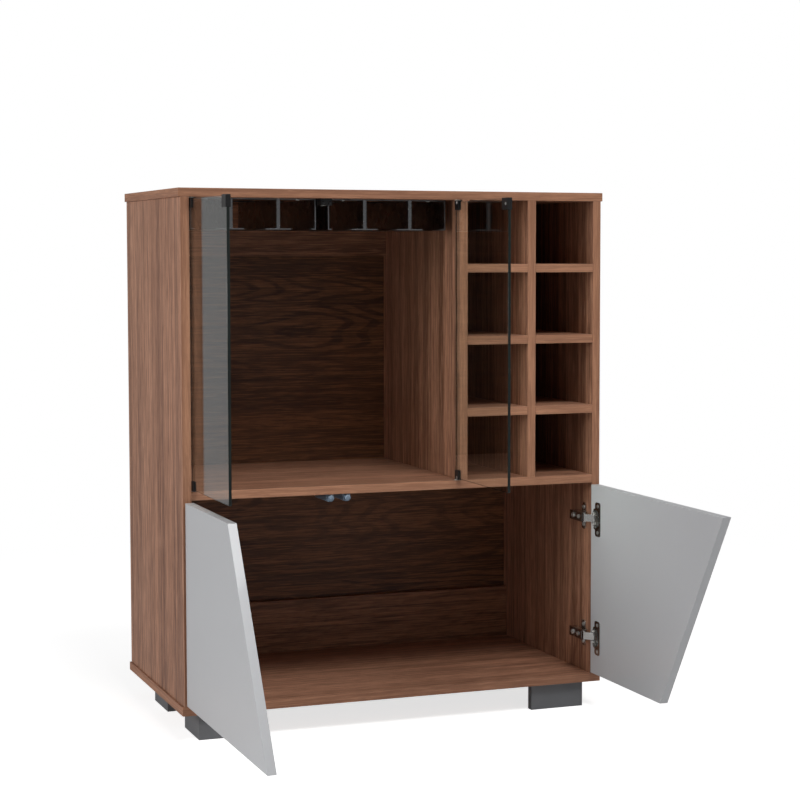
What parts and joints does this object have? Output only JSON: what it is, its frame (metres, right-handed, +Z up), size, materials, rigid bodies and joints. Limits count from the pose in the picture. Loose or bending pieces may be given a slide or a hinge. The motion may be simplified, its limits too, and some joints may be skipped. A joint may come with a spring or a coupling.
{
  "type": "bar armoire",
  "caption": "Free-standing bar cabinet with frameless glass doors, hanging stemware racks, square bottle cells and two lower doors that meet at a slanting seam",
  "frame": {"origin": "on the floor, under the middle of the outline of the whole, which stands with all four doors open square", "axes": "+X to the viewer's right, +Y from the doors to the back, +Z up"},
  "size_m": [0.78, 0.919, 0.938],
  "materials": {
    "walnut": "satin veneer with upright grain",
    "back_walnut": "satin veneer with level grain",
    "pale_lacquer": "satin lacquer",
    "graphite_paint": "satin paint",
    "clear_glass": "clear, polished edges",
    "black_fitting": "satin black",
    "pale_plastic": "satin",
    "latch_plastic": "satin",
    "nickel": "bright nickel",
    "bright_metal": "bright"
  },
  "bodies": {
    "cabinet": {"top_panel": "walnut", "bottom_panel": "walnut", "mid_shelf": "walnut", "divider": "walnut", "rack_post_1": "walnut", "rack_shelf_1": "walnut", "rack_shelf_2": "walnut", "rack_shelf_3": "walnut", "back_sheet": "back_walnut", "back_rail_top": "back_walnut", "back_rail_bottom": "back_walnut", "side_left": "walnut", "side_right": "walnut", "foot_front_left": "graphite_paint", "foot_front_right": "graphite_paint", "foot_rear_left": "graphite_paint", "foot_rear_right": "graphite_paint", "pivot_bush_left_top": "pale_plastic", "pivot_bush_left_bottom": "pale_plastic", "pivot_bush_right_top": "pale_plastic", "pivot_bush_right_bottom": "pale_plastic", "touch_latch_body": "black_fitting", "push_latch_body_left": "latch_plastic", "push_latch_body_right": "latch_plastic", "hinge_plate_left_top": "nickel", "hinge_plate_left_bottom": "nickel", "hinge_plate_right_top": "nickel", "hinge_plate_right_bottom": "nickel", "hinge_arm_left_top": "nickel", "hinge_arm_left_bottom": "nickel", "hinge_arm_right_top": "nickel", "hinge_arm_right_bottom": "nickel", "stemware_rack_left": "bright_metal", "stemware_rack_right": "bright_metal"},
    "glass_door_left": {"glass_pane_left": "clear_glass", "glass_clamp_left_top": "black_fitting", "glass_clamp_left_bottom": "black_fitting", "glass_strike_left": "black_fitting"},
    "glass_door_right": {"glass_pane_right": "clear_glass", "glass_clamp_right_top": "black_fitting", "glass_clamp_right_bottom": "black_fitting", "glass_strike_right": "black_fitting"},
    "links_left": {"hinge_link_left_top": "nickel", "hinge_link_left_bottom": "nickel"},
    "links_right": {"hinge_link_right_top": "nickel", "hinge_link_right_bottom": "nickel"},
    "lower_door_left": {"door_left": "pale_lacquer", "hinge_cup_left_top": "nickel", "hinge_cup_left_bottom": "nickel"},
    "lower_door_right": {"door_right": "pale_lacquer", "hinge_cup_right_top": "nickel", "hinge_cup_right_bottom": "nickel"},
    "touch_plunger_left": {"touch_latch_plunger_left": "pale_plastic"},
    "touch_plunger_right": {"touch_latch_plunger_right": "pale_plastic"},
    "push_plunger_left": {"push_latch_plunger_left": "latch_plastic"},
    "push_plunger_right": {"push_latch_plunger_right": "latch_plastic"}
  },
  "joints": [
    {"name": "glass_left_pivot", "type": "hinge", "parent": "cabinet", "child": "glass_door_left", "pos_m": [-0.366, 0.0455, 0.6755], "axis": [0, 0, 1], "range_deg": [-10, 90]},
    {"name": "glass_right_pivot", "type": "hinge", "parent": "cabinet", "child": "glass_door_right", "pos_m": [0.111, 0.0455, 0.6755], "axis": [0, 0, 1], "range_deg": [-90, 10]},
    {"name": "link_left_pivot", "type": "hinge", "parent": "cabinet", "child": "links_left", "pos_m": [-0.35882, 0.04263, 0.2405], "axis": [0, 0, 1], "range_deg": [-30, 1.65]},
    {"name": "door_left_pivot", "type": "hinge", "parent": "links_left", "child": "lower_door_left", "pos_m": [-0.3705, 0.0265, 0.2405], "axis": [0, 0, 1], "range_deg": [-6.6, 120]},
    {"name": "link_right_pivot", "type": "hinge", "parent": "cabinet", "child": "links_right", "pos_m": [0.35882, 0.04263, 0.2405], "axis": [0, 0, 1], "range_deg": [-1.65, 30]},
    {"name": "door_right_pivot", "type": "hinge", "parent": "links_right", "child": "lower_door_right", "pos_m": [0.3705, 0.0265, 0.2405], "axis": [0, 0, 1], "range_deg": [-120, 6.6]},
    {"name": "touch_left_slide", "type": "slide", "parent": "cabinet", "child": "touch_plunger_left", "axis": [0, 1, 0], "range_m": [0, 0.003], "stiffness_N_per_m": 100},
    {"name": "touch_right_slide", "type": "slide", "parent": "cabinet", "child": "touch_plunger_right", "axis": [0, 1, 0], "range_m": [0, 0.003], "stiffness_N_per_m": 100},
    {"name": "push_left_slide", "type": "slide", "parent": "cabinet", "child": "push_plunger_left", "axis": [0, 1, 0], "range_m": [0, 0.008], "stiffness_N_per_m": 200},
    {"name": "push_right_slide", "type": "slide", "parent": "cabinet", "child": "push_plunger_right", "axis": [0, 1, 0], "range_m": [0, 0.008], "stiffness_N_per_m": 200}
  ],
  "couplings": [
    {"joint": "link_left_pivot", "follows": "door_left_pivot", "ratio": -0.25},
    {"joint": "link_right_pivot", "follows": "door_right_pivot", "ratio": -0.25}
  ]
}
